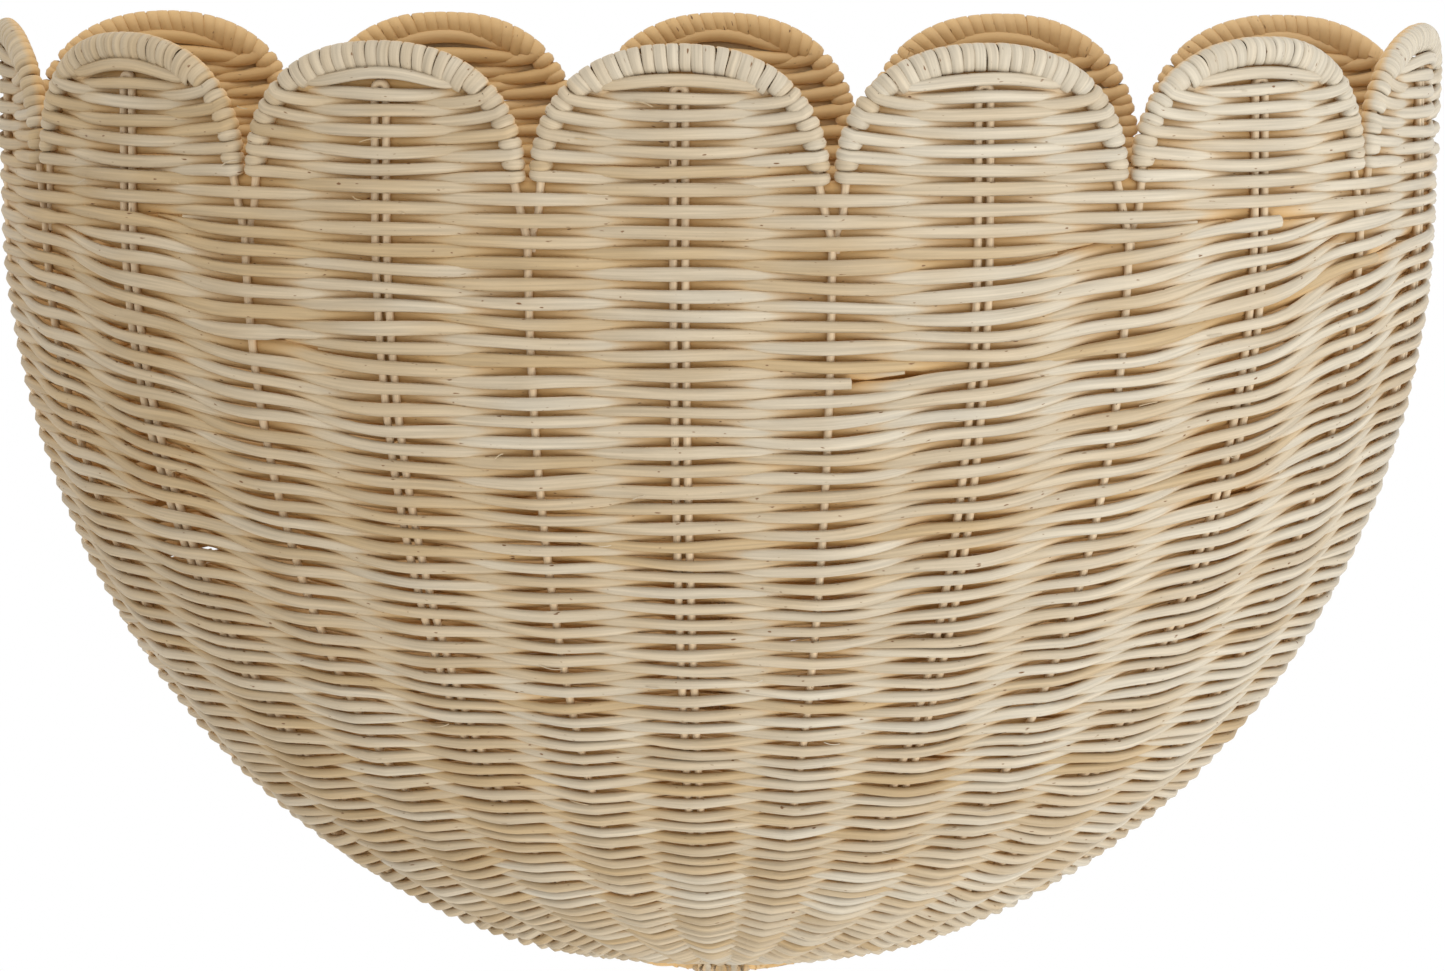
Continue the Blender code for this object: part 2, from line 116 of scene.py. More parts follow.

# A strand's tint, and the painted shade of its inside
TONE = (0.42, 0.2)  # mean and spread
DARK_CHANCE = 0.05  # strands that kept some of their darker skin
DARKER = 0.5
PETAL_TONE = 0.75  # scallops and lashings are paler
LASHING_TONE = 0.7
HOOP_ROD_TONES = (0.3, 0.9)
PAIR_TONES = (0.2, 0.7)
INSIDE_SHADE_SHARE = 0.5  # part of the painted shade of its inside that comes from facing inwards
GRAIN_RUN = 20  # a strand's grain starts anywhere in this length

# Rows of the bowl
ROW_PITCH = 0.00268  # in mid front, at the widest level
LEVEL_LOSS = 0.18  # rows lie this much closer from TIGHT_LEVEL down
TIGHT_LEVEL = math.radians(42)
CORNER_LOSS = 0.15  # the same beside the plan's corners, at the widest level
CORNER_LOSS_POWER = 6
LAST_LEVEL = math.radians(86.5)
RIGHT_LIFT = math.radians(10.5)  # of a row at the corner over mid front
LEFT_LIFT = math.radians(6.8)
LEVEL_AGAIN = math.radians(50)  # where the rows are level round the plan
LIFT_POWER = 0.8
LEVEL_STEPS = 1500  # down the bowl, as rows are laid
COLLAR_STEPS = 50  # above the widest level
COLUMN_STEPS = 400  # steps down one column
INTERVAL_SAMPLES = (0, 0.06, 0.14, 0.25, 0.37, 0.5, 0.63, 0.75, 0.86, 0.94)
ROWS_PER_PIECE = 38
END_PRICE = 6  # rows of want that a pair of short rows has to gain besides
SHORTEST_RUN = 3
SPREAD = (0.12, 0.76, 0.12)  # of the room that a row takes, over its stake and those beside it
STEADY = 0.4  # rows run this much flatter at the stakes than on average
BACK_TURN = 0.9  # stakes from a corner to where the back's rows are quite flat
SHARED_STIRS = ((0.25, 3, 0.031), (0.12, 8, 0.055), (0.1, 17, 0.11))  # rows, turns, drift per row
OWN_STIRS = ((0.09, 0.9), (0.06, 2.3))  # rows, radians per stake
CALM_ROWS = 12  # no stir at the ends of a column, whole from this part of it on

# How weavers swing out and in
PAIR_EDGE = 0.95  # share of the way to a pair where a weaver is quite on it
ROUND_SHARE = 0.45  # of a weaver's way from stake to stake, the rest is straight
LEFT_CROSSING = (0.65, 0.88)  # where weavers cross over beside the corner stakes, as a share of
RIGHT_CROSSING = (0.38, 0.8)  # the way to the next pair: at the widest level, and low down
RIGHT_SHIFT = 0.3  # level, over TIGHT_LEVEL, where the right crossing starts to move
LOW_SWING_LOSS = 0.35  # weavers lie flatter low down beside the corner stakes
LOW_SHARE = 0.7  # from this share of TIGHT_LEVEL on
CORNER_REACH = 1.8  # and up to so many stakes from them
SIDE_SWING_LOSS = 0.6  # and at the pair in front of the left corner
SIDE_REACH = 1.3
FREE_ROOM = 0.002  # room between stakes where weavers hardly swing
FULL_ROOM = 0.009  # and how much more lets them swing fully
LEAST_SWING = 0.3
UNEVEN_SWING = 0.00012
UNEVEN_PACE = 1.7  # radians per stake

# A weaver's width and ends
FILL = 1.26  # width of a weaver over the room that its row has
WIDTH_LIMITS = (0.93, 1.28)
PRESSED_OUT = 0.04  # weavers widen by this share where they press on a stake
PRESSED_IN = 0.24  # from outside, and from inside
BOWL_THIN = (0.95, 1.04)  # one strand's size over the usual
PETAL_THIN = (0.94, 1.04)
OVER_TAIL = 0.8  # how far a short row goes past a stake crossed outside, in stakes
UNDER_TAIL = 0.5  # inside
CUT_TAIL = 0.2  # outside, cut off in view
CUT_ROWS = 24  # down to this row some ends are in view
CUT_CHANCE = 0.4
TUCKED_SHARE = 0.3  # ends that swing out less are behind the weave
TAPER = np.array([0.3, 0.55, 0.8, 0.95])  # of a weaver's end behind the weave

# Rows of a scallop
PETAL_ROWS = 13
PETAL_ROW_PITCH = 0.0024
PETAL_FIRST_ROW = 0.0005  # above the collar, at the pair
PETAL_SAMPLES = 33
HOOK_PITCH = 0.00275  # from strand to strand along the hoop
HOOK_FIRST = 0.0015
HOOK_SAMPLES = 15
HOOKED_ROWS = 10  # the rows above them end under the lashing
HOOK_RADIUS = RIM_RADIUS - STRAND_THICKNESS / 2  # a strand's centre to the hoop's
HOOK_TURN = math.radians(245)  # an outer row goes over the hoop and ends inside
WRAP_TURN = math.radians(325)  # an inner row goes all round it, from behind
HOOK_DRIFT = 0.3  # of HOOK_PITCH, on its way round
TUCKED_SWING = 0.0005  # the ends under the lashing, outside the middle of the wall
END_SLOPE = (1, 0.45)  # rows leave the hoop less steeply than square to it
HOOKED_HANDLE = 0.42  # handles of a row's curve, over its half-length
TUCKED_HANDLE = 0.3
SNAP = 1.1  # how early a row is fully over or behind the pair
END_JITTER = 0.00045
ROW_JITTER = 0.0004
WANDER = 0.0003

# The lashing
LASHING_THICKNESS = 0.0010
LASHING_PITCH = 0.0030
LASHING_DROP = 0.0040  # middle of the lashing below the hoop, over the top row
LASHING_START = 0.3  # of a hook's pitch before the end of the hooked rows
LASHING_STEPS = 20  # per turn
LASHING_POWER = 0.55  # of its flat profile
LASHING_LEAN = 0.8  # how much of a step is made inside
LASHING_STIR = 0.0002
LASHING_SLACK = (0.0003, 0.00008)  # along the hoop and towards it
LASHING_WIDE = 0.0003
LASHING_WIDTHS = (1.03, 0.06, 0.04)  # over the pitch: mean, between turns, in a turn

# The knot and loose fibres
KNOT_ROWS = 4
KNOT_SAMPLES = 60
KNOT_REACH = 0.7  # its rows go on so many stakes past the corners
KNOT_PITCH = 0.93  # over the bowl's
KNOT_SWING = 0.3
KNOT_SHADE = 0.8  # of a whole swing, for the knot's painted shade
LEAST_SHRINK = 0.002
FIBRES = 46
FIBRE_RADIUS = 0.00014
FIBRE_SIDES = 4
FIBRE_STEPS = 9
FIBRE_SPAN = (0.14, 0.86)  # of the front's arc
FIBRE_HIGH_CHANCE = 0.3  # fibres above the widest level
FIBRE_HIGHEST = 0.03
FIBRE_LOWEST = 1.1  # level
FIBRE_LENGTHS = (0.002, 0.006)
FIBRE_LIFT = 0.0012
FIBRE_RETURN = 1.3
FIBRE_DRIFT = 0.0015

# Colours
# Each: bleached, tan, and a painted shade colour for insides, strand flanks and spots deep in the weave
WEAVE_COLOURS = ((0.57, 0.505, 0.395), (0.47, 0.34, 0.185), (0.64, 0.40, 0.16))
STAKE_COLOURS = ((0.76, 0.61, 0.42), (0.70, 0.52, 0.32), (0.58, 0.39, 0.19))
# Painted shade of the under strands seen through the slots at the stakes
PAINTED_SLOT_SHADE = (0.60, 0.365, 0.135)
SPECK_COLOUR = (0.17, 0.08, 0.03)
WEAVE_RELIEF = 0.45
STAKE_RELIEF = 0.3

# The stage
FLOOR_RADIUS = 6
FLOOR_SIDES = 96
FLOOR_DROP = 1.2
FLOOR_COLOUR = (0.92, 0.92, 0.91, 1)
LIGHTS = (("right light", (1.6, -1.3, -0.8), 1.4, 21.0),  # name, place, size and power
          ("top light", (0.3, -0.9, 1.6), 1.4, 7.0))
LIGHT_AIM = Vector((0, -0.06, -0.08))
AZIMUTH, ELEVATION = math.radians(4.2), math.radians(5.6)  # of the camera
CAMERA_DISTANCE = 3.0
CAMERA_AIM = Vector((0, -0.06, -0.09))
AIM_RIGHT, AIM_UP = 0.0043, 0.013
FOCAL_WIDTHS = 7.994  # focal length over the width of the image
CLIP_END = 50

rng = np.random.default_rng(12)


def unit(vectors):
    """Vectors over their lengths."""
    return vectors / np.linalg.norm(vectors, axis=-1, keepdims=True)


def sums(steps):
    """The sums of the steps so far, from 0 on."""
    return np.concatenate([[0], np.cumsum(steps)])


def smooth(share):
    """0 below 0, 1 above 1 and 3t^2 - 2t^3 in between."""
    t = np.clip(share, 0, 1)
    return t * t * (3 - 2 * t)


# The wall

class Plan:
    """The D outline at the widest level, read by arc length from the middle of the flat back.

    Half of it is a straight line, a quarter circle and a quarter superellipse
    x = a cos^(2/p), y = b sin^(2/p); the other half mirrors it. Each point is kept as shares of
    the straight, the corner and the front, so that the outline can shrink with round corners.
    """

    def __init__(self):
        turn = np.linspace(0, math.pi / 2, CORNER_SAMPLES)
        sweep = np.linspace(0, math.pi / 2, PLAN_SAMPLES)[1:]
        aside = np.cos(sweep) ** (2 / FRONT_POWER)
        ahead = np.sin(sweep) ** (2 / FRONT_POWER)
        still, full = np.zeros(1), np.ones_like(turn)
        shares = np.array([
            np.concatenate([still, full, aside]),
            np.concatenate([still, np.sin(turn), aside]),
            np.concatenate([still, 0 * turn, ahead]),
            np.concatenate([still, 1 - np.cos(turn), np.ones_like(ahead)]),
        ])
        mirror = shares[:, -2::-1] * np.array([[-1], [-1], [1], [1]])
        self.shares = np.concatenate([shares, mirror], axis=1)
        outside = np.array(self.outline(self.shares, 1))
        run = np.gradient(outside, axis=1)
        inward = np.array([-run[1], run[0]]) / np.hypot(*run)
        steps = np.diff(outside + inward * MIDDLE, axis=1)
        self.arc = sums(np.hypot(*steps))
        self.length = self.arc[-1]
        straight = HALF_WIDTH - CORNER_RADIUS
        self.corner_middle = straight + math.pi / 4 * (CORNER_RADIUS - MIDDLE)

    def outline(self, shares, shrink):
        """(x, y to the front) of the outline shrunk by a factor: straight * first share + corner *
        second share, and front * third share + corner * fourth share. The corner's radius shrinks
        only where the half-width is below BASE_HALF_WIDTH."""
        corner = CORNER_RADIUS * np.minimum(1, shrink * HALF_WIDTH / BASE_HALF_WIDTH)
        straight = HALF_WIDTH * shrink - corner
        front = DEPTH * shrink - corner
        return straight * shares[0] + corner * shares[1], front * shares[2] + corner * shares[3]

    def at(self, arc, shrink):
        """The shrunk outline where the whole one has gone the length arc, round and round."""
        arc = arc % self.length
        return self.outline([np.interp(arc, self.arc, row) for row in self.shares], shrink)


PLAN = Plan()
BACK_STEP = PLAN.corner_middle / BACK_PETALS
FRONT_STEP = (PLAN.length / 2 - PLAN.corner_middle) / FRONT_PETALS
STAKE_ARCS = np.concatenate([
    PLAN.corner_middle + FRONT_STEP * np.arange(2 * FRONT_PETALS),
    PLAN.length - PLAN.corner_middle + BACK_STEP * np.arange(2 * BACK_PETALS + 1),
])


def skin(arc, level, height):
    """The outside of the wall: the D plan shrunk by cos(level), sunk by the bowl's height times
    sin(level)."""
    x, y = PLAN.at(arc, np.cos(level))
    return np.stack(np.broadcast_arrays(x, -y, height - BOWL_HEIGHT * np.sin(level)), axis=-1)


def on_wall(arc, level, height, depth):
    """Points in the wall and the outward directions there: the skin moved inwards by depth along
    the cross product of its two slopes."""
    arc, level, height, depth = np.broadcast_arrays(arc, level, height, depth)
    along = skin(arc + SLOPE_STEP, level, height) - skin(arc - SLOPE_STEP, level, height)
    step = SLOPE_STEP / BOWL_HEIGHT
    down = skin(arc, level + step, height) - skin(arc, level - step, height)
    outward = unit(np.cross(along, down))
    return skin(arc, level, height) - outward * depth[..., None], outward


def beside(arc, level, sideways):
    """The arc of a line that runs a real distance beside the upright line at arc: the distance
    over the plan's own shrunk, slanted length there."""
    here = on_wall(arc, level, 0, MIDDLE)[0]
    along = (on_wall(arc + SLOPE_STEP, level, 0, MIDDLE)[0] - here) / SLOPE_STEP
    down = unit(on_wall(arc, level + SLOPE_STEP / BOWL_HEIGHT, 0, MIDDLE)[0] - here)
    return arc + sideways / np.linalg.norm(np.cross(along, down), axis=-1)


# Strands

class Bundle:
    """Strands of one piece: a profile carried along each line.

    A point of the profile is line + across * w/2 cos^p(turn) + through * t/2 sin^p(turn), where
    across lies in the wall and through points out of it. p is 1 for an oval strand and less for a
    flat one.
    """

    def __init__(self, sides=STRAND_SIDES, power=1.0):
        turn = 2 * math.pi * np.arange(sides) / sides
        self.cos, self.sin = (np.sign(wave) * np.abs(wave) ** power
                              for wave in (np.round(np.cos(turn), 9), np.round(np.sin(turn), 9)))
        self.sides = sides
        self.count = 0
        self.points, self.faces = [], []
        self.fibres, self.tones, self.inwards, self.sunk_shade = [], [], [], []

    def add(self, line, outward, width, thickness, tone, swing=0.0, facing=1.0, closed=False):
        """A strand along a line. swing is how far the line is outside the middle of the wall,
        facing the cosine between the given outward directions and the wall's own. With s for the
        turn's sine, w for swing over the whole SWING and k for INSIDE_SHADE_SHARE:
        inward = (1 - k * facing * s - (1 - k) * w) / 2, sunk_shade = -w * (facing * s + 1/2), where
        both factors are kept between 0 and 1. Both are painted shade: inward darkens what faces or lies
        inside, sunk_shade the under strands seen through the slots at the stakes."""
        if closed:
            tangent = unit(np.roll(line, -1, axis=0) - np.roll(line, 1, axis=0))
        else:
            tangent = unit(np.gradient(line, axis=0))
        across = unit(np.cross(tangent, outward))
        through = np.cross(across, tangent)
        steps = len(line)
        width, thickness, swing, facing = (np.broadcast_to(value, steps)[:, None]
                                           for value in (width, thickness, swing, facing))
        half_width = width / 2 * self.cos
        half_depth = thickness / 2 * self.sin
        rings = (line[:, None] + across[:, None] * half_width[..., None]
                 + through[:, None] * half_depth[..., None])
        run = np.linalg.norm(np.diff(line, axis=0), axis=1)
        along = sums(run) + rng.uniform(0, GRAIN_RUN)
        fibre = np.stack(np.broadcast_arrays(along[:, None], half_width, half_depth), axis=-1)
        # Painted shade: the inward share darkens insides and what lies behind the middle of the wall
        outside = INSIDE_SHADE_SHARE * facing * self.sin + (1 - INSIDE_SHADE_SHARE) * swing / SWING
        # Painted shade in the slots: under strands behind the stakes, on their outward faces
        sunk_shade = np.clip(-swing / SWING, 0, 1) * np.clip(facing * self.sin + 0.5, 0, 1)
        self.points.append(rings.reshape(-1, 3))
        self.fibres.append(fibre.reshape(-1, 3))
        self.tones.append(np.full(steps * self.sides, tone))
        self.inwards.append(((1 - outside) / 2).ravel())
        self.sunk_shade.append(sunk_shade.ravel())
        spots = self.count + np.arange(steps * self.sides).reshape(steps, self.sides)
        here, there = (spots, np.roll(spots, -1, axis=0)) if closed else (spots[:-1], spots[1:])
        quads = [here, there, np.roll(there, -1, axis=1), np.roll(here, -1, axis=1)]
        self.faces += np.stack(quads, axis=-1).reshape(-1, 4).tolist()
        if not closed:
            self.faces += [spots[0].tolist(), spots[-1, ::-1].tolist()]
        self.count += steps * self.sides

    def piece(self, name, material, nodes):
        """The bundle as one mesh object that stands for the named nodes."""
        mesh = bpy.data.meshes.new(name)
        mesh.from_pydata(np.concatenate(self.points), [], self.faces)
        for kind, key, label, values in (("FLOAT_VECTOR", "vector", "fibre", self.fibres),
                                         ("FLOAT", "value", "tone", self.tones),
                                         ("FLOAT", "value", "inward", self.inwards),
                                         ("FLOAT", "value", "sunk_shade", self.sunk_shade)):
            attribute = mesh.attributes.new(label, kind, "POINT")
            attribute.data.foreach_set(key, np.concatenate(values).astype(np.float32).ravel())
        mesh.shade_smooth()
        mesh.set_sharp_from_angle(angle=SHARP_ANGLE)
        mesh.materials.append(material)
        thing = bpy.data.objects.new(name, mesh)
        bpy.context.scene.collection.objects.link(thing)
        if nodes:
            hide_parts(*nodes)
        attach(thing, "root")


def strand_tone():
    """A strand's own tint, from 0 for bleached to 1 for tan, and beyond for the few darker ones."""
    return float(np.clip(rng.normal(*TONE), 0, 1)) + (DARKER if rng.random() < DARK_CHANCE else 0)


# Rows of the bowl

def kept_places(row, cover, place):
    """Where a short row has its strand. It ends behind the weave: well on towards the next stake
    where it crosses the last one outside, sooner after it where it crosses inside. Some of the
    upper ends are cut off in view, just past a stake."""
    tails = []
    for stake in range(STAKES):
        outside = (stake + row) % 2 == 1
        cut = outside and row < CUT_ROWS and stake < LEFT_CORNER and rng.random() < CUT_CHANCE
        tails.append(CUT_TAIL if cut else OVER_TAIL if outside else UNDER_TAIL)
    tails = np.array(tails)
    before = np.floor(place).astype(int)
    after = (before + 1) % STAKES
    past = place - before
    here, there = cover[before] > 0, cover[after] > 0
    return (here & there) | (here & (past <= tails[before])) | (there & (1 - past <= tails[after]))


def fall_length(level, reach):
    """Length down a quarter ellipse of half-axes reach and the bowl's height, by trapezoids."""
    speed = np.hypot(reach * np.sin(level), BOWL_HEIGHT * np.cos(level))
    return sums((speed[1:] + speed[:-1]) / 2 * np.diff(level))


def pitch_at(level, x):
    """Distance from row to row: less lower down, and less beside the plan's corners in the upper
    half. x is a share of the half-width."""
    low = smooth(level / TIGHT_LEVEL)
    beside_corner = CORNER_LOSS * np.abs(x) ** CORNER_LOSS_POWER * (1 - low)
    return ROW_PITCH * (1 - LEVEL_LOSS * low) * (1 - beside_corner)


def rows_down(level, fall, x):
    """Rows from the widest level down to each level: the fall's steps over the pitch there."""
    return sums(np.diff(fall) / pitch_at((level[1:] + level[:-1]) / 2, x))


def wanted_rows():
    """Rows wanted above each of many steps down the bowl, at every stake.

    In mid front the level grows evenly. Towards a corner the same row lies higher in the upper
    half and a little lower near the pole: level - lift * |x|^2.2 * sin(half a turn * s^0.8), where
    s is the level over the one where the rows are level again, fading out towards the pole.
    """
    steps = np.linspace(0, LAST_LEVEL, LEVEL_STEPS)
    x = PLAN.at(STAKE_ARCS[:STAKES], 1)[0] / HALF_WIDTH
    lift = np.where(x > 0, RIGHT_LIFT, LEFT_LIFT) * np.abs(x) ** FRONT_POWER
    back = np.arange(LEFT_CORNER, STAKES)
    lift[back] = np.interp(back, (LEFT_CORNER, STAKES), (LEFT_LIFT, RIGHT_LIFT))
    sag = np.sin(math.pi * (steps / LEVEL_AGAIN) ** LIFT_POWER)
    sag = sag * np.minimum(1, (LAST_LEVEL - steps) / (LAST_LEVEL - LEVEL_AGAIN))
    counts = []
    for stake in range(STAKES):
        level = np.maximum.accumulate(np.maximum(steps - lift[stake] * sag, 0))
        if stake > LEFT_CORNER:
            fall = BOWL_HEIGHT * np.sin(level)
        else:
            fall = fall_length(level, np.hypot(*PLAN.at(STAKE_ARCS[stake], 1)))
        counts.append(rows_down(level, fall, x[stake]))
    collar = COLLAR_HEIGHT / pitch_at(0, x)
    above = np.linspace(0, 1, COLLAR_STEPS)[:-1, None] * collar
    return np.concatenate([above, np.array(counts).T + collar])


def lay_rows():
    """Which stakes each row covers, from the top down.

    Rows are laid in pairs, so that over and under go on alternating. A pair is worth laying once
    its stakes want more than one row each on average. A pair of short rows also has to pay for its
    ends, so most rows go all the way round.
    """
    covers = []
    need = np.zeros(STAKES)
    ring = np.arange(STAKES)
    for more in np.diff(wanted_rows(), axis=0):
        need += more
        gain = need - 1
        worth, cover = gain.sum(), np.ones(STAKES, bool)
        run = sums(np.tile(gain, 2))
        for length in range(SHORTEST_RUN, STAKES - 2):
            worths = run[ring + length] - run[ring] - END_PRICE
            if worths.max() > worth:
                worth, cover = worths.max(), (ring - worths.argmax()) % STAKES < length
        if worth >= 0:
            covers += [cover, cover]
            need -= 2 * cover
    return np.array(covers, float)


def between_stakes(values, place):
    """Values at the stakes carried on between them by a Catmull-Rom curve round the plan, slowed
    down at the stakes: t - k sin(a turn of t) / a turn."""
    before = np.floor(place).astype(int)
    t = place - before
    t = t - STEADY * np.sin(2 * math.pi * t) / (2 * math.pi)
    weights = (-t / 2 + t ** 2 - t ** 3 / 2, 1 - 2.5 * t ** 2 + 1.5 * t ** 3,
               t / 2 + 2 * t ** 2 - 1.5 * t ** 3, (t ** 3 - t ** 2) / 2)
    return sum(weight * values[..., (before + step) % STAKES]
               for step, weight in zip((-1, 0, 1, 2), weights))


def row_shares(covers, place):
    """How far down its column each row lies, from 0 to 1. A short row pushes its neighbours apart
    gradually: what it takes up is spread over the stakes next to its own."""
    spread = sum(weight * np.roll(covers, step, axis=1) for step, weight in zip((-1, 0, 1), SPREAD))
    share = (np.cumsum(spread, axis=0) - spread / 2) / spread.sum(axis=0)
    return between_stakes(share, place)


def row_stir(place, count):
    """How far each row lies below its even place, in rows, and the phases of its own waves.

    Sines that all rows share go whole turns round the plan and drift on from row to row; each row
    also has two sines of its own."""
    order = np.arange(count)[:, None]
    stir = sum(
        size * np.sin(2 * math.pi * (turns * place / STAKES + order * drift + phase))
        for (size, turns, drift), phase in zip(SHARED_STIRS, rng.uniform(0, 1, len(SHARED_STIRS)))
    )
    phases = rng.uniform(0, 2 * math.pi, (len(OWN_STIRS), count, 1))
    for (size, pace), phase in zip(OWN_STIRS, phases):
        stir = stir + size * np.sin(place * pace + phase)
    return stir, phases


def row_levels(rank, stir, place, arc):
    """Level, height above the widest level and length down the wall of every row at every place.

    The rows of a column are counted down its own curve, an ellipse in front and a straight line on
    the flat back. A row's number in the column is its share of them all, stirred."""
    level_grid = np.linspace(0, LAST_LEVEL, COLUMN_STEPS)
    back = smooth((place - LEFT_CORNER) / BACK_TURN) * smooth((STAKES - place) / BACK_TURN)
    levels, heights, drops = np.empty_like(rank), np.empty_like(rank), np.empty_like(rank)
    x, ahead = PLAN.at(arc, 1)
    for k, reach in enumerate(np.hypot(x, ahead)):
        straight = BOWL_HEIGHT * np.sin(level_grid)
        fall = (1 - back[k]) * fall_length(level_grid, reach) + back[k] * straight
        rows = rows_down(level_grid, fall, x[k] / HALF_WIDTH)
        collar = COLLAR_HEIGHT / pitch_at(0, x[k] / HALF_WIDTH)
        calm = smooth(rank[:, k] * CALM_ROWS) * smooth((1 - rank[:, k]) * CALM_ROWS)
        down = rank[:, k] * (collar + rows[-1]) + stir[:, k] * calm - collar
        levels[:, k] = np.interp(down, rows, level_grid)
        heights[:, k] = np.maximum(-down, 0) * COLLAR_HEIGHT / collar
        drops[:, k] = np.interp(down, rows, fall) - heights[:, k]
    return levels, heights, drops


def swing_share(place, level):
    """How far a weaver has swung at a place between stakes, from 1 at a valley stake to -1 at a
    pair: part of a cosine and part of a straight run, flat over the width of a pair.
    Beside a corner stake it crosses over at a share c of the way, by t -> k t / (1 + (k - 1) t)
    with k = (1 - c) / c."""
    share = np.abs((place + 1) % 2 - 1)
    left = LEFT_CROSSING[0] + (LEFT_CROSSING[1] - LEFT_CROSSING[0]) * smooth(level / TIGHT_LEVEL)
    right = (RIGHT_CROSSING[0] + (RIGHT_CROSSING[1] - RIGHT_CROSSING[0])
             * smooth((level / TIGHT_LEVEL - RIGHT_SHIFT) / (2 - RIGHT_SHIFT)))
    crossing = np.where(np.abs(place - LEFT_CORNER) < 1, left, 0.5)
    crossing = np.where(np.minimum(place, STAKES - place) < 1, right, crossing)
    pull = (1 - crossing) / crossing
    share = pull * share / (1 + (pull - 1) * share)
    flat = np.clip(share / PAIR_EDGE, 0, 1)
    return ROUND_SHARE * np.cos(math.pi * flat) + (1 - ROUND_SHARE) * (1 - 2 * flat)


def row_swings(place, levels, phases):
    """How far every row is outside the middle of the wall: the whole SWING times its share, with
    the sign changing from row to row. Less where the stakes come close together, low down beside
    the corners and in front of the left one; a small sine makes the rows uneven."""
    order = np.arange(len(levels))[:, None]
    over = swing_share(place, levels) * np.where(order % 2 == 0, -1, 1)
    room = np.cos(levels) * FRONT_STEP
    swing = SWING * over * np.clip((room - FREE_ROOM) / FULL_ROOM, LEAST_SWING, 1)
    corner = np.minimum(np.abs(place - LEFT_CORNER), np.minimum(place, STAKES - place))
    low = smooth(levels / TIGHT_LEVEL - LOW_SHARE)
    swing = swing * (1 - LOW_SWING_LOSS * smooth(CORNER_REACH - corner) * low)
    side = np.abs(place + 1 - LEFT_CORNER)
    swing = swing * (1 - SIDE_SWING_LOSS * smooth(1 - SIDE_REACH * side))
    return swing + UNEVEN_SWING * np.sin(place * UNEVEN_PACE + phases[1] * 3)


def bowl_rows():
    """Every row on one grid of rows by places: where it has its strand, its line, its outward
    directions, its swing and its width."""
    covers = lay_rows()
    place = (np.arange(STAKES)[:, None] + np.array(INTERVAL_SAMPLES)).ravel()
    arc = np.interp(place, np.arange(STAKES + 1), STAKE_ARCS)
    stir, phases = row_stir(place, len(covers))
    levels, heights, drops = row_levels(row_shares(covers, place), stir, place, arc)
    swing = row_swings(place, levels, phases)
    points, outward = on_wall(arc, levels, heights, MIDDLE - swing)
    kept = np.array([cover.all() | kept_places(row, cover, place)
                     for row, cover in enumerate(covers)])
    pitch = pitch_at(levels, PLAN.at(arc, 1)[0] / HALF_WIDTH)
    return kept, points, outward, swing, strand_widths(kept, drops, pitch, swing)


def pressed(swing):
    """Growth of a weaver's width at the stakes: 1 + share * (swing / whole swing) squared."""
    turn = np.clip(swing / SWING, -1, 1)
    return 1 + np.where(turn > 0, PRESSED_OUT, PRESSED_IN) * turn ** 2


def strand_widths(kept, drops, pitch, swing):
    """Weavers flatten a little to fill the room between the row above and the row below, and
    more where they press on a stake."""
    above = np.maximum.accumulate(np.where(kept, drops, -1), axis=0)
    below = np.minimum.accumulate(np.where(kept, drops, 1)[::-1], axis=0)[::-1]
    above = np.concatenate([drops[:1] - ROW_PITCH, above[:-1]])
    below = np.concatenate([below[1:], drops[-1:] + ROW_PITCH])
    usual = STRAND_WIDTH * pitch / ROW_PITCH
    least, most = (limit * usual for limit in WIDTH_LIMITS)
    return np.clip(FILL * (below - above) / 2, least, most) * pressed(swing)


def make_bowl_rows(material):
    """Full rows are closed rings, short rows end behind the weave, where they get thinner."""
    kept, points, outward, swing, widths = bowl_rows()
    for part in range(-(-len(kept) // ROWS_PER_PIECE)):
        bundle = Bundle()
        for row in range(part * ROWS_PER_PIECE, min((part + 1) * ROWS_PER_PIECE, len(kept))):
            thin = rng.uniform(*BOWL_THIN)
            inside = kept[row]
            closed = bool(inside.all())
            start = 0 if closed else int(np.argmax(inside & ~np.roll(inside, 1)))
            keep = (start + np.arange(int(inside.sum()))) % len(inside)
            taper = np.ones(len(keep))
            if not closed:
                tucked = [swing[row][keep[end]] < SWING * TUCKED_SHARE for end in (0, -1)]
                taper[:len(TAPER)] = TAPER if tucked[0] else 1
                taper[-len(TAPER):] = TAPER[::-1] if tucked[1] else 1
            bundle.add(points[row][keep], outward[row][keep], widths[row][keep] * thin * taper,
                       STRAND_THICKNESS * thin * taper, strand_tone(), swing[row][keep],
                       closed=closed)
        bundle.piece(f"bowl_rows_{part + 1:02d}", material, ["body_weave"])


def make_knot(material):
    """The weave's first rows, under the pole: arcs that follow the front's plan, each nearer the
    pole by one row: shrink = last shrink - row * pitch / depth. Their ends bend up into the wall."""
    bundle = Bundle()
    place = np.linspace(-KNOT_REACH, LEFT_CORNER + KNOT_REACH, KNOT_SAMPLES)
    arcs = [STAKE_ARCS[STAKES - 1] - PLAN.length, *STAKE_ARCS]
    arc = np.interp(place, np.arange(-1, STAKES + 1), arcs)
    for row in range(KNOT_ROWS):
        shrink = math.cos(LAST_LEVEL) - (row + 1) * KNOT_PITCH * ROW_PITCH / DEPTH
        level = math.acos(max(shrink, LEAST_SHRINK))
        bent = smooth(-place / KNOT_REACH) + smooth((place - LEFT_CORNER) / KNOT_REACH)
        over = np.cos(math.pi * place) * (1 if row % 2 else -1)
        swing = SWING * KNOT_SWING * over - SWING * bent
        line, outward = on_wall(arc, level, 0, MIDDLE - swing)
        bundle.add(line, outward, STRAND_WIDTH, STRAND_THICKNESS, strand_tone(), SWING * KNOT_SHADE)
    bundle.piece("knot_rows", material, ["base_knot"])


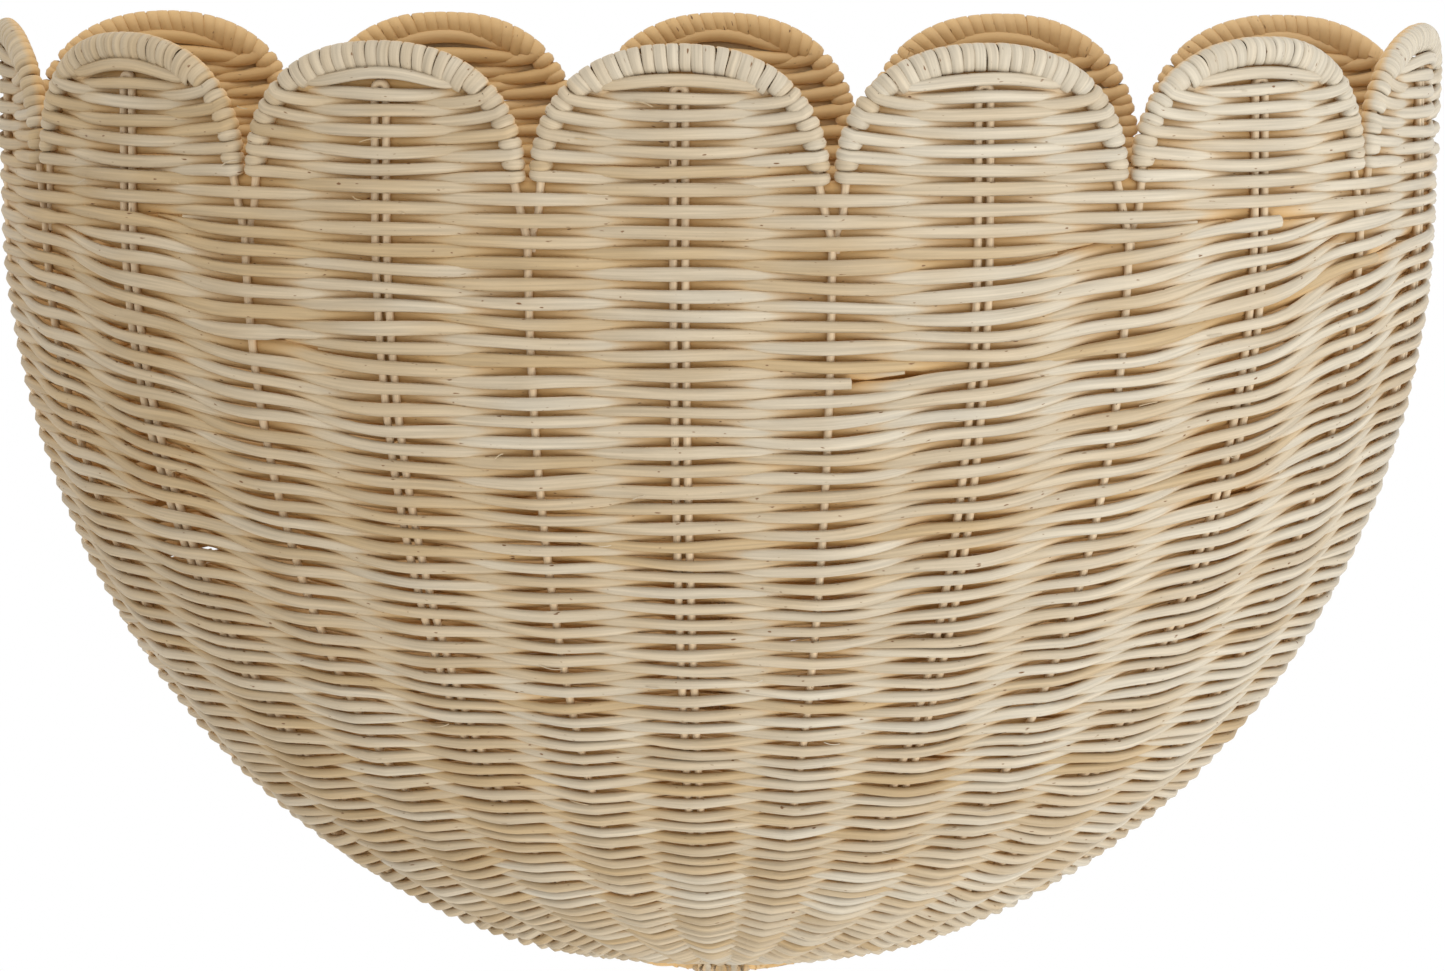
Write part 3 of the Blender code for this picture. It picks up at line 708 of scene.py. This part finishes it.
def make_fibres(material):
    """Fine fibres that stand off the strands, from a foot on the front:
    foot + ahead * reach * t + outward * lift * t * (1.3 - t) + up * drift * t^2."""
    bundle = Bundle(sides=FIBRE_SIDES)
    front = STAKE_ARCS[LEFT_CORNER] - STAKE_ARCS[0]
    size = 2 * FIBRE_RADIUS
    t = np.linspace(0, 1, FIBRE_STEPS)[:, None]
    for _ in range(FIBRES):
        arc = np.array([STAKE_ARCS[0] + rng.uniform(*FIBRE_SPAN) * front])
        if rng.random() < FIBRE_HIGH_CHANCE:
            height, level = rng.uniform(0, FIBRE_HIGHEST), 0.0
        else:
            height, level = 0.0, rng.uniform(0, FIBRE_LOWEST)
        foot, outward = on_wall(arc, level, height, STRAND_THICKNESS / 2)
        ahead = unit(on_wall(arc + ROD_RADIUS, level, height, STRAND_THICKNESS / 2)[0] - foot)
        reach = rng.uniform(*FIBRE_LENGTHS) * rng.choice((-1, 1))
        drift = np.cross(ahead, outward) * rng.uniform(-FIBRE_DRIFT, FIBRE_DRIFT)
        lift = outward * (FIBRE_LIFT + FIBRE_LIFT * rng.random())
        line = foot + ahead * reach * t + lift * t * (FIBRE_RETURN - t) + drift * t ** 2
        outwards = np.repeat(outward, FIBRE_STEPS, axis=0)
        bundle.add(line, outwards, size, size, rng.uniform(0, 1), SWING)
    bundle.piece("loose_fibres", material, [])


# Scallops

class Hoop:
    """A scallop's hoop as a superellipse arch, read by length from its foot:
    x = a cos^(2/p), y = b sin^(2/p)."""

    def __init__(self, middle, width):
        self.middle = middle
        turn = np.linspace(0, math.pi / 2, HOOP_SAMPLES)
        side = (width / 2 - LEG_OFFSET) * np.cos(turn) ** (2 / PETAL_POWER)
        up = HOOP_RISE * np.sin(turn) ** (2 / PETAL_POWER)
        length = sums(np.hypot(np.diff(side), np.diff(up)))
        self.side = np.concatenate([side, -side[-2::-1]])
        self.up = np.concatenate([up, up[-2::-1]])
        self.run = np.concatenate([length, 2 * length[-1] - length[-2::-1]])
        self.length = self.run[-1]

    def at(self, run):
        """(arc, height) of the hoop's centre line, from the foot at the smaller arc."""
        return np.stack([self.middle - np.interp(run, self.run, self.side),
                         COLLAR_HEIGHT + np.interp(run, self.run, self.up)], axis=-1)

    def away(self, run):
        """Unit direction (arc, height) out of the scallop, square to the hoop's slope."""
        step = self.length / 400
        ahead = self.at(np.minimum(run + step, self.length)) - self.at(np.maximum(run - step, 0))
        return unit(np.stack([-ahead[..., 1], ahead[..., 0]], axis=-1))


def round_hoop(hoop, run, turn, radius, drop=HOOK_RADIUS):
    """A strand's centre round the hoop: centre + away * r sin(turn), and r cos(turn) outwards,
    with drop in place of r where the sine is below 0. Gives the line, its directions from the
    hoop's centre and its swing."""
    spot, away = hoop.at(run), hoop.away(run)
    flat = spot + away * (np.where(np.sin(turn) < 0, drop, radius) * np.sin(turn))[..., None]
    line, _ = on_wall(flat[..., 0], 0, flat[..., 1], MIDDLE - radius * np.cos(turn))
    centre, _ = on_wall(spot[..., 0], 0, spot[..., 1], MIDDLE)
    return line, unit(line - centre), radius * np.cos(turn)


def petal_curve(hoop, index, ends, tucked):
    """A row across its scallop as (arc, height), and how near its spots are to the pair, from 0
    at the hoop to 1: a fourth-degree Bezier curve, nearly square to the hoop at its ends and at
    its own height in the middle, with a small sine added to its height."""
    spots, aways = hoop.at(ends), hoop.away(ends)
    if tucked:
        spots = spots - aways * HOOK_RADIUS
    half = abs(spots[1, 0] - spots[0, 0]) / 2
    middle_height = (COLLAR_HEIGHT + PETAL_FIRST_ROW + PETAL_ROW_PITCH * index
                     + rng.uniform(-1, 1) * ROW_JITTER)
    handles = spots - unit(aways * END_SLOPE) * half * (TUCKED_HANDLE if tucked else HOOKED_HANDLE)
    top = (16 * middle_height - spots[:, 1].sum() - 4 * handles[:, 1].sum()) / 6
    control = np.array([spots[0], handles[0], (hoop.middle, top), handles[1], spots[1]])
    share = smooth(np.linspace(0, 1, PETAL_SAMPLES))[:, None]
    weights = [math.comb(4, k) * share ** k * (1 - share) ** (4 - k) for k in range(5)]
    flat = sum(weight * point for weight, point in zip(weights, control))
    share = share[:, 0]
    wave = np.sin(share * rng.uniform(5, 9) + rng.uniform(0, 6))
    flat[:, 1] += WANDER * wave * np.sin(math.pi * share)
    return flat, 1 - np.abs(flat[:, 0] - hoop.middle) / half


def petal_row(hoop, index, is_outer):
    """One row of a scallop with both ends: its line, directions, swing and facing.

    An outer row goes behind the pair, over the hoop and ends inside; an inner row goes over the
    pair, comes round the back of the hoop and goes all round it. In between each crosses over by
    half a straight run and half a smooth step. The rows above them end under the lashing, where
    their swing is a quarter sine.
    """
    tucked = index >= HOOKED_ROWS
    shift = rng.uniform(-1, 1, 2) * END_JITTER
    ends = np.array([HOOK_FIRST + HOOK_PITCH * index + shift[0],
                     hoop.length - HOOK_FIRST - HOOK_PITCH * index + shift[1]])
    flat, towards = petal_curve(hoop, index, ends, tucked)
    if tucked:
        swing = TUCKED_SWING + (SWING - TUCKED_SWING) * np.sin(math.pi / 2 * towards)
    else:
        crossed = (towards + smooth(towards * SNAP)) / 2
        swing = (HOOK_RADIUS + SWING) * crossed - HOOK_RADIUS
    swing = swing * (-1 if is_outer else 1)
    crossing, outward = on_wall(flat[:, 0], 0, flat[:, 1], MIDDLE - swing)
    if tucked:
        return crossing, outward, swing, np.ones_like(swing)
    turns = np.linspace(0, HOOK_TURN if is_outer else WRAP_TURN, HOOK_SAMPLES)[1:]
    drift = HOOK_PITCH * HOOK_DRIFT * turns / turns[-1]
    if not is_outer:
        turns = math.pi - turns
    first = round_hoop(hoop, ends[0] + drift, turns, HOOK_RADIUS)
    last = round_hoop(hoop, ends[1] - drift, turns, HOOK_RADIUS)
    side = 1 if is_outer else -1
    facing = np.cos(turns) * side
    return (np.concatenate([first[0][::-1], crossing, last[0]]),
            np.concatenate([first[1][::-1] * side, outward, last[1] * side]),
            np.concatenate([first[2][::-1], swing, last[2]]),
            np.concatenate([facing[::-1], np.ones_like(swing), facing]))


def make_petal(index, stake, materials):
    """The rows, the lashing and the rods of one scallop. stake is the number of its pair."""
    width = 2 * (FRONT_STEP if stake < LEFT_CORNER else BACK_STEP)
    hoop = Hoop(STAKE_ARCS[stake], width)
    bundle = Bundle()
    for row in range(PETAL_ROWS):
        line, outward, swing, facing = petal_row(hoop, row, is_outer=row % 2 == 0)
        thin = rng.uniform(*PETAL_THIN)
        bundle.add(line, outward, STRAND_WIDTH * thin * pressed(swing), STRAND_THICKNESS * thin,
                   strand_tone() * PETAL_TONE, swing, facing)
    bundle.piece(f"petal_rows_{index:02d}", materials["weave"], [f"petal_weave_{index:02d}"])
    make_lashing(index, hoop, materials["weave"])
    make_hoop_rod(index, stake, hoop, materials["stakes"])
    make_pair(index, stake, materials["stakes"])


def make_lashing(index, hoop, material):
    """Flat strand wound over the top of the hoop and the row under it, an oval of half-heights
    r above and d below. Each turn is nearly square to the hoop outside and steps on inside:
    run = pitch * (turn - 0.8 sin(turn)) / a whole turn. Uneven from turn to turn."""
    start = HOOK_FIRST + HOOK_PITCH * (HOOKED_ROWS - LASHING_START)
    length = hoop.length - 2 * start
    turns = round(length / LASHING_PITCH)
    turn = np.linspace(-math.pi, math.pi * (2 * turns + 1), (turns + 1) * LASHING_STEPS)
    knots = np.arange(-1, turns + 2) * 2 * math.pi
    lean, slack, wide = (np.interp(turn, knots, rng.uniform(-1, 1, turns + 3)) for _ in range(3))
    wave = np.sin(turn)
    run = start + length / turns * (turn - LASHING_LEAN * wave) / (2 * math.pi)
    run = run + LASHING_STIR * lean + LASHING_SLACK[0] * slack * wave
    radius = RIM_RADIUS - LASHING_THICKNESS / 2 - LASHING_SLACK[1] * (1 + slack)
    ends = smooth((run - start) / HOOK_PITCH) * smooth((hoop.length - start - run) / HOOK_PITCH)
    drop = radius + (LASHING_DROP + LASHING_WIDE * wide - radius) * ends
    line, outward, swing = round_hoop(hoop, run, turn, radius, drop)
    mean, between, within = LASHING_WIDTHS
    bundle = Bundle(power=LASHING_POWER)
    bundle.add(line, outward, LASHING_PITCH * (mean + between * wide + within * wave),
               LASHING_THICKNESS, strand_tone() * LASHING_TONE, swing, np.cos(turn))
    bundle.piece(f"hoop_lashing_{index:02d}", material, [f"rim_wrap_{index:02d}"])


# Stake rods

def make_hoop_rod(index, stake, hoop, material):
    """The valley's rod: up the middle of the wall, over the scallop as its hoop, and down beside
    the next stake, where it goes inwards by its radius."""
    levels = np.radians(np.linspace(HOOP_ROD_FOOT, HOOP_ROD_TOP, ROD_SAMPLES))
    arch = hoop.at(np.linspace(0, hoop.length, ROD_SAMPLES))
    tip_arc = STAKE_ARCS[stake + 1] - np.array([LEG_OFFSET * TIP_BEND, TIP_OFFSET, TIP_OFFSET])
    tip_level = np.array([0, 0.5, 1]) * TIP_TUCK / BOWL_HEIGHT
    legs = (on_wall(STAKE_ARCS[stake - 1], levels, 0, MIDDLE),
            on_wall(STAKE_ARCS[stake - 1] + np.array([LEG_OFFSET * LEG_BEND]), 0, 0, MIDDLE),
            on_wall(arch[:, 0], 0, arch[:, 1], MIDDLE),
            on_wall(tip_arc, tip_level, 0, MIDDLE + TIP_DEPTHS * ROD_RADIUS))
    line, outward = (np.concatenate(parts) for parts in zip(*legs))
    bundle = Bundle()
    bundle.add(line, outward, 2 * ROD_RADIUS, 2 * ROD_RADIUS, rng.uniform(*HOOP_ROD_TONES))
    bundle.piece(f"hoop_rod_{index:02d}", material, [f"hoop_stake_{index:02d}"])


def make_pair(index, stake, material):
    """The pair of rods up the scallop's middle: two lines beside it, joined by half a circle."""
    middle = STAKE_ARCS[stake]
    half = PAIR_SPACING / 2
    levels = np.radians(np.linspace(PAIR_FOOT, 0, ROD_SAMPLES))
    first, last = (on_wall(beside(middle, levels, side), levels, 0, MIDDLE) for side in (-half, half))
    top = COLLAR_HEIGHT + HOOP_RISE - RIM_RADIUS - HAIRPIN_GAP - ROD_RADIUS - half
    turn = np.linspace(math.pi, 0, 13)
    bend = on_wall(middle + half * np.cos(turn), 0, top + half * np.sin(turn), MIDDLE)
    line, outward = (np.concatenate([first[k], bend[k], last[k][::-1]]) for k in (0, 1))
    bundle = Bundle()
    bundle.add(line, outward, 2 * ROD_RADIUS, 2 * ROD_RADIUS, rng.uniform(*PAIR_TONES))
    bundle.piece(f"pair_rods_{index:02d}", material, [f"paired_stake_{index:02d}"])


# Materials

def node(tree, kind, at, sockets=None, **values):
    """A node with values for its properties and its sockets."""
    made = tree.nodes.new(kind)
    made.location = at
    for name, value in values.items():
        setattr(made, name, value)
    for name, value in (sockets or {}).items():
        made.inputs[name].default_value = value
    return made


def noise_along(tree, fibre, at, stretch, detail):
    """Noise read at a strand's fibre coordinates times stretch."""
    stretched = node(tree, "ShaderNodeVectorMath", (at[0] - 200, at[1]), {1: stretch},
                     operation="MULTIPLY")
    noise = node(tree, "ShaderNodeTexNoise", at, {"Scale": 1.0, "Detail": detail})
    tree.links.new(fibre, stretched.inputs[0])
    tree.links.new(stretched.outputs[0], noise.inputs["Vector"])
    return noise.outputs["Fac"]


def remap(tree, value, at, **ends):
    """A value carried from one range to another, both 0 to 1 by default."""
    sockets = {name.replace("_", " ").title(): end for name, end in ends.items()}
    made = node(tree, "ShaderNodeMapRange", at, sockets)
    tree.links.new(value, made.inputs["Value"])
    return made.outputs[0]


def multiply_add(tree, value, factor, addend, at):
    """value * factor + addend."""
    made = node(tree, "ShaderNodeMath", at, {1: factor}, operation="MULTIPLY_ADD")
    tree.links.new(value, made.inputs[0])
    tree.links.new(addend, made.inputs[2])
    return made.outputs[0]


def blend(tree, factor, first, second, at):
    """first + factor * (second - first), each of the two a socket or a plain colour."""
    made = node(tree, "ShaderNodeMix", at, data_type="RGBA")
    tree.links.new(factor, made.inputs["Factor"])
    for name, colour in (("A", first), ("B", second)):
        if isinstance(colour, tuple):
            made.inputs[name].default_value = (*colour, 1)
        else:
            tree.links.new(colour, made.inputs[name])
    return made.outputs["Result"]


def rattan_group():
    """Node group: the tints, long fibres and specks of a rattan strand, with painted shade on its
    insides and in the slots at the stakes, from the four attributes of its mesh. Towards +X the
    colour goes paler, painted light for the more strongly lit right side."""
    group = bpy.data.node_groups.new("rattan fibre", "ShaderNodeTree")
    for way, name, kind in (("INPUT", "Bleached", "Color"), ("INPUT", "Tan", "Color"),
                            ("INPUT", "Painted shade", "Color"), ("OUTPUT", "Color", "Color"),
                            ("OUTPUT", "Height", "Float"), ("OUTPUT", "Roughness", "Float")):
        group.interface.new_socket(name, in_out=way, socket_type="NodeSocket" + kind)
    inputs = node(group, "NodeGroupInput", (-1200, 0)).outputs
    outputs = node(group, "NodeGroupOutput", (900, 0)).inputs
    fibre, tone, inward, sunk_shade = (
        node(group, "ShaderNodeAttribute", (-1200, -300 - 200 * k), attribute_name=name)
        for k, name in enumerate(("fibre", "tone", "inward", "sunk_shade"))
    )
    streaks = noise_along(group, fibre.outputs["Vector"], (-750, -300), (40, 1300, 1300), 4.0)
    blotches = noise_along(group, fibre.outputs["Vector"], (-750, -550), (28, 60, 60), 2.0)
    specks = noise_along(group, fibre.outputs["Vector"], (-750, -800), (380, 1000, 1000), 1.0)

    place = node(group, "ShaderNodeTexCoord", (-1200, 300))
    axes = node(group, "ShaderNodeSeparateXYZ", (-950, 300))
    group.links.new(place.outputs["Object"], axes.inputs[0])
    # Painted light: the colour pales towards +X, where the light falls stronger, on top of each
    # strand's own tone
    tone_and_painted_light = multiply_add(group, axes.outputs["X"], -2.1, tone.outputs["Fac"], (-750, 300))
    tinted = multiply_add(group, blotches, 1.1, tone_and_painted_light, (-520, -500))
    tan_share = remap(group, tinted, (-350, -500), from_min=0.45, from_max=1.5)
    base = blend(group, tan_share, inputs["Bleached"], inputs["Tan"], (-120, 0))

    shade = remap(group, streaks, (-520, -250), from_min=0.3, from_max=0.7, to_min=0.78, to_max=1.08)
    streaked = node(group, "ShaderNodeVectorMath", (100, 0), operation="SCALE")
    group.links.new(base, streaked.inputs[0])
    group.links.new(shade, streaked.inputs["Scale"])

    # Painted shade: what faces or lies inside, and strand flanks, mix towards the darker painted shade
    # colour
    inside = remap(group, inward.outputs["Fac"], (-520, -950), from_min=0.3, from_max=0.62, to_max=0.85)
    colour = blend(group, inside, streaked.outputs[0], inputs["Painted shade"], (300, 0))
    # Painted shade in the slots: under strands beside the stakes mix towards the painted slot shade
    # colour
    slot_shade_share = remap(group, sunk_shade.outputs["Fac"], (0, -700), from_min=0.15, to_max=0.8)
    colour = blend(group, slot_shade_share, colour, PAINTED_SLOT_SHADE, (420, 0))
    dark = remap(group, specks, (-520, -780), from_min=0.73, from_max=0.79)
    colour = blend(group, dark, colour, SPECK_COLOUR, (520, 0))
    group.links.new(colour, outputs["Color"])
    group.links.new(streaks, outputs["Height"])
    rough = remap(group, streaks, (300, -400), to_min=0.42, to_max=0.68)
    group.links.new(rough, outputs["Roughness"])
    return group


def new_material(name, sockets):
    """A material, its node tree and its shader with the given values of its sockets."""
    material = bpy.data.materials.new(name)
    material.use_nodes = True
    shader = material.node_tree.nodes["Principled BSDF"]
    for key, value in sockets.items():
        shader.inputs[key].default_value = value
    return material, material.node_tree, shader


def rattan_material(name, group, colours, relief):
    """Rattan in three colours: bleached, tan, and a painted shade for insides and spots deep in the
    weave.
    """
    material, tree, shader = new_material(name, {"Specular IOR Level": 0.35})
    sockets = {key: (*colour, 1) for key, colour in zip(("Bleached", "Tan", "Painted shade"), colours)}
    fibre = node(tree, "ShaderNodeGroup", (-500, 0), sockets, node_tree=group)
    bump = node(tree, "ShaderNodeBump", (-250, -300), {"Strength": relief, "Distance": 0.0002})
    tree.links.new(fibre.outputs["Color"], shader.inputs["Base Color"])
    tree.links.new(fibre.outputs["Roughness"], shader.inputs["Roughness"])
    tree.links.new(fibre.outputs["Height"], bump.inputs["Height"])
    tree.links.new(bump.outputs["Normal"], shader.inputs["Normal"])
    return material


def steel_material():
    """Dull grey steel with fine scratches of roughness."""
    material, tree, shader = new_material("dull steel", {"Metallic": 1.0})
    place = node(tree, "ShaderNodeTexCoord", (-900, 0))
    noise = node(tree, "ShaderNodeTexNoise", (-650, 0), {"Scale": 900, "Detail": 4})
    tree.links.new(place.outputs["Object"], noise.inputs["Vector"])
    rough = remap(tree, noise.outputs["Fac"], (-400, 0), to_min=0.25, to_max=0.6)
    tree.links.new(rough, shader.inputs["Roughness"])
    shade = blend(tree, noise.outputs["Fac"], (0.20, 0.19, 0.19), (0.45, 0.44, 0.43), (-200, 200))
    tree.links.new(shade, shader.inputs["Base Color"])
    return material


# Light, floor and camera

def make_stage():
    """A white room with a pale floor well below the basket, and soft lights aimed at it."""
    scene = bpy.context.scene
    scene.view_settings.view_transform = "Standard"
    world = bpy.data.worlds.new("soft white room")
    scene.world = world
    world.use_nodes = True
    sky = world.node_tree.nodes["Background"]
    sky.inputs["Color"].default_value = (1.0, 1.0, 1.0, 1)
    sky.inputs["Strength"].default_value = 1.0
    turn = np.linspace(0, 2 * math.pi, FLOOR_SIDES, endpoint=False)
    edge = np.stack([FLOOR_RADIUS * np.cos(turn), FLOOR_RADIUS * np.sin(turn),
                     np.full(FLOOR_SIDES, cad_box[0].z - FLOOR_DROP)], axis=1)
    floor_mesh = bpy.data.meshes.new("floor")
    floor_mesh.from_pydata(edge, [], [range(FLOOR_SIDES)])
    pale = new_material("pale floor", {"Base Color": FLOOR_COLOUR, "Roughness": 0.8})[0]
    floor_mesh.materials.append(pale)
    floor = bpy.data.objects.new("floor", floor_mesh)
    scene.collection.objects.link(floor)
    for name, place, size, power in LIGHTS:
        lamp = bpy.data.lights.new(name, "AREA")
        lamp.size = size
        lamp.energy = power
        place_at(bpy.data.objects.new(name, lamp), Vector(place), LIGHT_AIM)


def place_at(thing, place, aim):
    """Puts a lamp or camera in the scene, looking from its place to the aim."""
    thing.location = place
    thing.rotation_mode = "QUATERNION"
    thing.rotation_quaternion = (aim - place).to_track_quat("-Z", "Y")
    bpy.context.scene.collection.objects.link(thing)


def make_camera():
    """A far camera, slightly to the right of the centre line and above the rim, with its aim moved
    to place the basket in the picture."""
    right = Vector((math.cos(AZIMUTH), math.sin(AZIMUTH), 0))
    back = Vector((math.sin(AZIMUTH) * math.cos(ELEVATION),
                   -math.cos(AZIMUTH) * math.cos(ELEVATION), math.sin(ELEVATION)))
    camera = bpy.data.cameras.new("camera")
    camera.lens = FOCAL_WIDTHS * camera.sensor_width
    camera.clip_end = CLIP_END
    thing = bpy.data.objects.new("camera", camera)
    aim = CAMERA_AIM + right * AIM_RIGHT + back.cross(right) * AIM_UP
    place_at(thing, CAMERA_AIM + back * CAMERA_DISTANCE, aim)
    bpy.context.scene.camera = thing


def dress():
    """All pieces, in the order of their random draws. The back scallops come first."""
    group = rattan_group()
    materials = {
        "weave": rattan_material("woven rattan", group, WEAVE_COLOURS, WEAVE_RELIEF),
        "stakes": rattan_material("rattan rods", group, STAKE_COLOURS, STAKE_RELIEF),
    }
    make_bowl_rows(materials["weave"])
    make_knot(materials["weave"])
    make_fibres(materials["weave"])
    for index in range(1, BACK_PETALS + 1):
        make_petal(index, LEFT_CORNER + 2 * index - 1, materials)
    for petal in range(FRONT_PETALS):
        make_petal(BACK_PETALS + 1 + petal, 2 * petal + 1, materials)
    steel = steel_material()
    for side in ("left", "right"):
        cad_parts[f"wall_nail_{side}"].data.materials.clear()
        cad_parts[f"wall_nail_{side}"].data.materials.append(steel)


dress()
make_stage()
make_camera()
